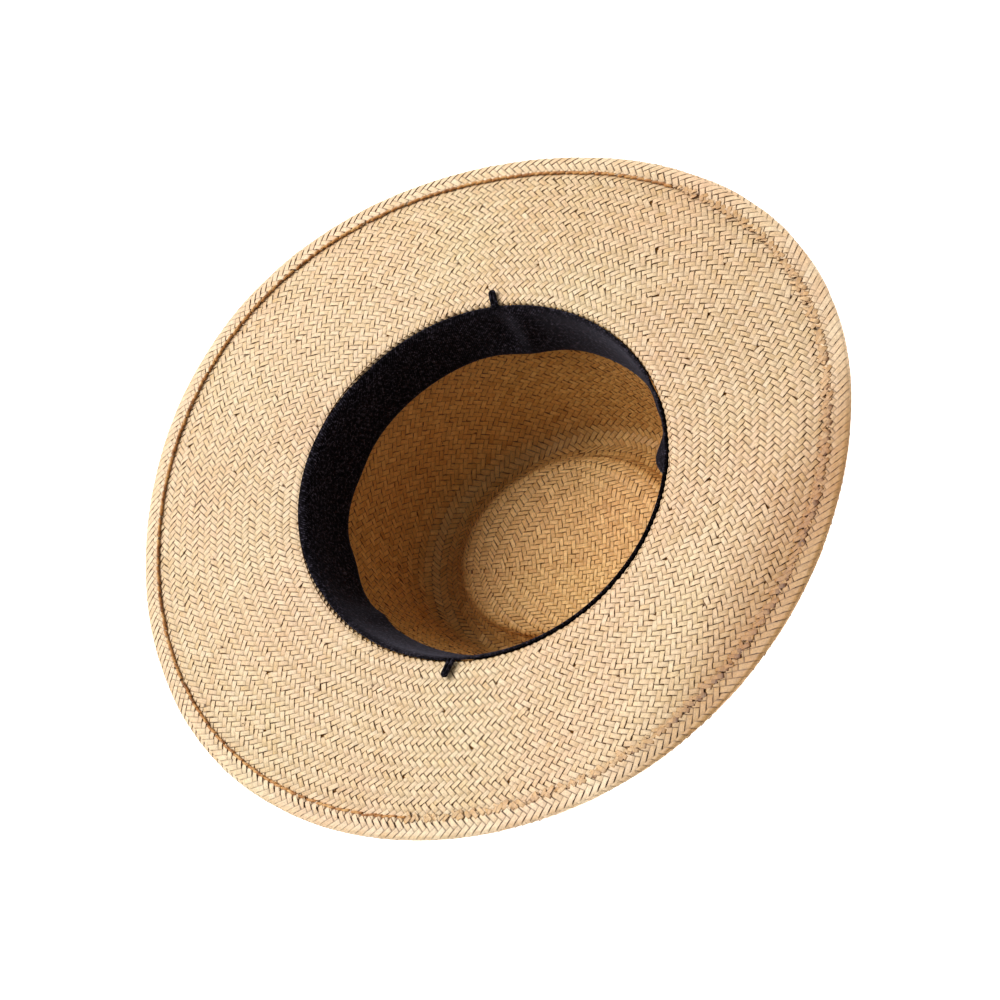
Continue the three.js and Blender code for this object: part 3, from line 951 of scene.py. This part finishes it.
def straw_pieces():
    """The plaited crown and brim and the brim's turned edge."""
    plait("crown_strips_long", crown_lay(0), SHADED_CROWN_STRAW, 11, "crown", wide=CROWN_SHARE)
    plait("crown_strips_cross", crown_lay(1), SHADED_CROWN_STRAW, 12, wide=CROWN_SHARE)
    # Dark sheets of painted shade inside the crown and the brim
    shade_sheet_piece("crown_shade_sheet", 0, BREAK, rows=84, columns=120)
    shade_sheet_piece("brim_shade_sheet", BREAK, BRIM_EDGE - SHADE_SHEET_SHORT, rows=24, columns=160)
    rings = brim_crossings()
    plait("brim_strips_left", brim_lay(rings, 1), BRIM_STRAW, 21, "brim")
    plait("brim_strips_right", brim_lay(rings, -1), BRIM_STRAW, 22)
    turned = dict(lift=HEM_STRIP_LIFT, thickness=HEM_STRIP_THICKNESS)
    plait("turned_edge_left", hem_lay(1), HEM_STRAW, 31, **turned)
    plait("turned_edge_right", hem_lay(-1), HEM_STRAW, 32, **turned)
    new_object("hem_stitches", stitches_mesh(), HEM_THREAD, "straw")
    new_object("frayed_ends", fray_mesh(), FRAY_STRAW, "straw")


def stitches_mesh():
    """Brown thread stitches, laid end to end in the groove along the turned edge."""
    chance = np.random.default_rng(41)
    count = int(STITCH_ROUND / STITCH_PITCH)
    steps = np.linspace(-0.5, 0.5, STITCH_STEPS)
    sides = np.arange(STITCH_SIDES) * 2 * np.pi / STITCH_SIDES
    middle = 2 * np.pi * (np.arange(count) + STITCH_JITTER * chance.normal(size=count)) / count
    turned = (np.degrees(middle) - FRAY_FROM) % 360
    middle = middle[turned > FRAY_TO - FRAY_FROM]
    count = len(middle)
    angle = middle[:, None] + steps[None, :] * STITCH_LENGTH / STITCH_ROUND * 2 * np.pi
    slant = steps[None, :] * STITCH_SLANT * chance.normal(1.0, 0.3, (count, 1))
    walked = STITCH_WALK + slant + chance.normal(0, 0.12, (count, 1))
    point, normal = hem_surface(walked.ravel(), angle.ravel())
    dip = STITCH_DIP[0] * np.cos(steps * np.pi) + STITCH_DIP[1]
    point = point + normal * np.tile(dip, count)[:, None]
    point = point.reshape(count, STITCH_STEPS, 3)
    normal = normal.reshape(count, STITCH_STEPS, 3)
    run = unit(np.gradient(point, axis=1))
    side = unit(np.cross(run, normal))
    rise = np.cross(side, run)
    across = side[:, :, None] * np.cos(sides)[:, None] + rise[:, :, None] * np.sin(sides)[:, None]
    rings = point[:, :, None] + STITCH_RADIUS * across
    corners = STITCH_STEPS * STITCH_SIDES
    base = np.arange(count)[:, None, None] * corners
    ring = np.arange(STITCH_STEPS - 1)[None, :, None] * STITCH_SIDES
    corner = np.arange(STITCH_SIDES)[None, None, :]
    following = (corner + 1) % STITCH_SIDES
    quads = np.stack([corner, STITCH_SIDES + corner, STITCH_SIDES + following, following], axis=-1)
    quads = ((base + ring)[..., None] + quads).reshape(-1, 4)
    caps = np.concatenate([base[:, 0] + corner[0], base[:, 0] + corners - 1 - corner[0]])
    mesh = bpy.data.meshes.new("hem_stitches")
    mesh.from_pydata((rings.reshape(-1, 3) * MM).tolist(), [], quads.tolist() + caps.tolist())
    return smoothed(mesh)


def fray_mesh():
    """Raw straw ends along the turned edge: a long and a short end at each strip, with painted shade at the
    root.
    """
    chance = np.random.default_rng(51)
    pitch = FRAY_PITCH * 360.0 / HEM_STRIPS
    number = int((FRAY_TO - FRAY_FROM) / pitch)
    kind = np.repeat(np.arange(2), number)
    count = len(kind)
    place = np.tile(np.arange(number), 2) + 0.5 * kind + chance.normal(0, 0.1, count)
    root = np.radians(FRAY_FROM + place * pitch)
    open_back = np.exp(-(((np.degrees(root) - FRAY_MIDDLE) / FRAY_SPREAD) ** 2))
    drawn = []
    for ranges in list(zip(*FRAY_ENDS))[1:]:
        low, high = np.array(ranges).T
        drawn.append(low[kind] + (high - low)[kind] * chance.random(count))
    reach, breadth, curl, start = drawn
    reach = reach * (0.9 + 0.7 * open_back)
    toward = np.tile(chance.random(number), 2) < 0.5 - 0.4 * open_back
    lean = np.where(toward == (kind == 0), FRAY_LEAN, -FRAY_LEAN) + chance.normal(0, 0.15, count)
    steps = np.linspace(0, 1, len(FRAY_TAPER))
    walked = start[:, None] + reach[:, None] * np.cos(lean)[:, None] * steps
    angle = root[:, None] + reach[:, None] * np.sin(lean)[:, None] * steps / FRAY_RADIUS
    point, normal = hem_surface(walked.ravel(), angle.ravel())
    sink = np.interp(walked, *FRAY_SINKS)
    rise = (curl[:, None] * np.sin(steps * np.pi * 0.8) + FRAY_LIFT - 0.25 * steps - sink).ravel()
    # Painted shade at the roots, where the ends go under the edge; more of it where the back stands open
    root_shade = 1.0 - 2.0 * chance.random(count) * (0.25 + 0.75 * open_back)
    over = np.stack([root_shade, 0.5 + 0.5 * root_shade, np.ones(count), np.ones(count)], axis=1)
    lay = dict(
        strip=np.repeat(np.arange(count), len(steps)),
        point=point + normal * rise[:, None],
        normal=normal,
        over=over.ravel(),
        width=np.repeat(breadth, len(steps)) * np.tile(FRAY_TAPER, count),
    )
    return strips_mesh("frayed_ends", lay, 0.0, FRAY_THICKNESS, 52, 1.0)


def band_stand_off(rows, angle):
    """How far the band stands off the wall at an angle by the rows of a table, in mm."""
    total = np.zeros(np.shape(angle))
    for _, at_degrees, spread_degrees, stand_off in rows:
        away = (np.degrees(angle) - at_degrees + 180) % 360 - 180
        total = total + stand_off * np.exp(-((away / spread_degrees) ** 2))
    return total


def sweatband():
    """The black cotton band sewn round the mouth, standing loose from the wall at its free edge."""
    shape = bmesh.new()
    bmesh.ops.create_grid(shape, x_segments=BAND_COLUMNS, y_segments=BAND_ROWS, size=0.5)
    cloth = shape.verts.layers.float_vector.new("cloth")
    points = np.array([corner.co[:] for corner in shape.verts])
    angle = (points[:, 0] + 0.5) * 2 * np.pi
    share = points[:, 1] + 0.5
    walk = share * (BAND_HEIGHT + BAND_ROLL) - BAND_HEIGHT
    ring = CROWN_RINGS * (1 + np.minimum(walk, 0) / walk_length(CROWN_WALK, angle))
    along = along_of(CROWN_PLACES, ring, angle) + np.maximum(walk, 0) / ROOT_WIDTH
    depth = np.clip(-walk / BAND_HEIGHT, 0, 1)
    loose = (BAND_STAND_OFF + band_stand_off(BAND_RIPPLES, angle)) * depth ** 2
    crease = band_stand_off(BAND_CREASES, angle) * 4 * depth * (1 - depth)
    stand = BAND_GAP + loose + crease + BAND_THICKNESS / 2
    place = off_face(along, angle, stand)[0] * MM
    for corner, spot, turn, height in zip(shape.verts, place, angle, share):
        corner[cloth] = (turn * BAND_RADIUS, height * BAND_HEIGHT, 0.0)
        corner.co = spot
    bmesh.ops.remove_doubles(shape, verts=shape.verts, dist=1e-6)
    bmesh.ops.recalc_face_normals(shape, faces=shape.faces)
    bmesh.ops.solidify(shape, geom=shape.faces[:], thickness=BAND_THICKNESS * MM)
    bmesh.ops.recalc_face_normals(shape, faces=shape.faces)
    mesh = bpy.data.meshes.new("sweatband_cloth")
    shape.to_mesh(mesh)
    shape.free()
    band = new_object("sweatband_cloth", smoothed(mesh), COTTON, "cotton", "sweatband")


def side_loops():
    """The small black cord loops at the root of the brim, doubled back and leaning to the front."""
    for name, at_degrees in LOOPS:
        angle = np.array([math.radians(at_degrees)])
        start = walk_along(BREAK, angle, LOOP_START)
        end = walk_along(BREAK, angle, LOOP_START + LOOP_REACH * math.cos(LOOP_LEAN))
        length = np.linalg.norm(face_point(end, angle))
        lean = math.copysign(LOOP_REACH * math.sin(LOOP_LEAN) / length, at_degrees)
        clear = LOOP_LIFT + LOOP_RADIUS
        root = Vector(off_face(start, angle, clear)[0][0])
        tip = Vector(off_face(end, angle + lean, clear)[0][0])
        reach = (tip - root).normalized()
        across = Vector(face_frame(end, angle)[1][0]).cross(reach).normalized()
        half = LOOP_SPACING / 2
        straight = LOOP_REACH - half
        leg = [root + reach * (straight * step / LOOP_LEG_STEPS) for step in range(LOOP_LEG_STEPS)]
        path = [spot + across * half for spot in leg]
        for step in range(LOOP_BEND_STEPS + 1):
            turn = math.pi * step / LOOP_BEND_STEPS
            path.append(root + reach * (straight + half * math.sin(turn)) + across * half * math.cos(turn))
        path += [spot - across * half for spot in reversed(leg)]
        curve = bpy.data.curves.new(name, "CURVE")
        curve.dimensions = "3D"
        curve.bevel_depth = LOOP_RADIUS * MM
        curve.bevel_resolution = 3
        curve.use_fill_caps = True
        spline = curve.splines.new("POLY")
        spline.points.add(len(path) - 1)
        for spot, corner in zip(path, spline.points):
            corner.co = (*(spot * MM), 1.0)
        holder = bpy.data.objects.new(name + "_path", curve)
        bpy.context.collection.objects.link(holder)
        worked_out = holder.evaluated_get(bpy.context.evaluated_depsgraph_get())
        mesh = bpy.data.meshes.new_from_object(worked_out)
        bpy.data.objects.remove(holder)
        mesh.materials.clear()
        new_object(name + "_cord", smoothed(mesh), COTTON, "cotton", name)


def studio():
    """A pale floor, a large soft key light from the hat's front left and a bright room."""
    shape = bmesh.new()
    bmesh.ops.create_grid(shape, x_segments=1, y_segments=1, size=FLOOR_REACH)
    bmesh.ops.create_cone(shape, segments=48, radius1=FLOOR_REACH, radius2=FLOOR_REACH, depth=FLOOR_WALL)
    mesh = bpy.data.meshes.new("floor")
    shape.to_mesh(mesh)
    shape.free()
    floor = bpy.data.objects.new("floor", mesh)
    bpy.context.collection.objects.link(floor)
    mesh.materials.append(new_material("white_paper", {
        "Base Color": (0.85, 0.85, 0.85, 1.0),
        "Roughness": 0.9,
        "Emission Color": (1.0, 1.0, 1.0, 1.0),
        "Emission Strength": 1.0,
    })[0])
    key = bpy.data.lights.new("key", "AREA")
    key.shape = "DISK"
    key.size = KEY_SIZE
    key.energy = KEY_ENERGY
    lamp = bpy.data.objects.new("key", key)
    way = Vector((
        math.cos(KEY_HEIGHT) * math.cos(KEY_AZIMUTH),
        math.cos(KEY_HEIGHT) * math.sin(KEY_AZIMUTH),
        math.sin(KEY_HEIGHT),
    ))
    lamp.location = MOUTH_MIDDLE + way * KEY_DISTANCE
    lamp.rotation_euler = way.to_track_quat("Z", "Y").to_euler()
    bpy.context.collection.objects.link(lamp)
    world = bpy.data.worlds.new("room")
    world.use_nodes = True
    background = world.node_tree.nodes["Background"]
    background.inputs["Color"].default_value = (1.0, 0.99, 0.97, 1.0)
    background.inputs["Strength"].default_value = ROOM_STRENGTH
    bpy.context.scene.world = world
    bpy.context.scene.view_settings.view_transform = "Standard"


def camera():
    """The camera at the photograph's angle."""
    back = Vector((
        math.sin(CAMERA_TILT) * math.cos(CAMERA_TURN),
        math.sin(CAMERA_TILT) * math.sin(CAMERA_TURN),
        math.cos(CAMERA_TILT),
    ))
    level = Vector((-math.sin(CAMERA_TURN), math.cos(CAMERA_TURN), 0.0))
    steep = back.cross(level)
    right = level * math.cos(CAMERA_ROLL) + steep * math.sin(CAMERA_ROLL)
    up = steep * math.cos(CAMERA_ROLL) - level * math.sin(CAMERA_ROLL)
    shift_x = (AIM_PIXEL[0] - MIDDLE_PIXEL) / PIXELS_PER_METRE
    shift_y = (AIM_PIXEL[1] - MIDDLE_PIXEL) / PIXELS_PER_METRE
    eye = MOUTH_MIDDLE + back * CAMERA_DISTANCE - right * shift_x + up * shift_y
    lens = bpy.data.cameras.new("camera")
    lens.lens = CAMERA_LENS
    lens.sensor_width = 36.0
    holder = bpy.data.objects.new("camera", lens)
    turn = Matrix((right, up, back)).transposed().to_4x4()
    holder.matrix_world = Matrix.Translation(eye) @ turn
    bpy.context.collection.objects.link(holder)
    bpy.context.scene.camera = holder


camera()
studio()
straw_pieces()
sweatband()
side_loops()
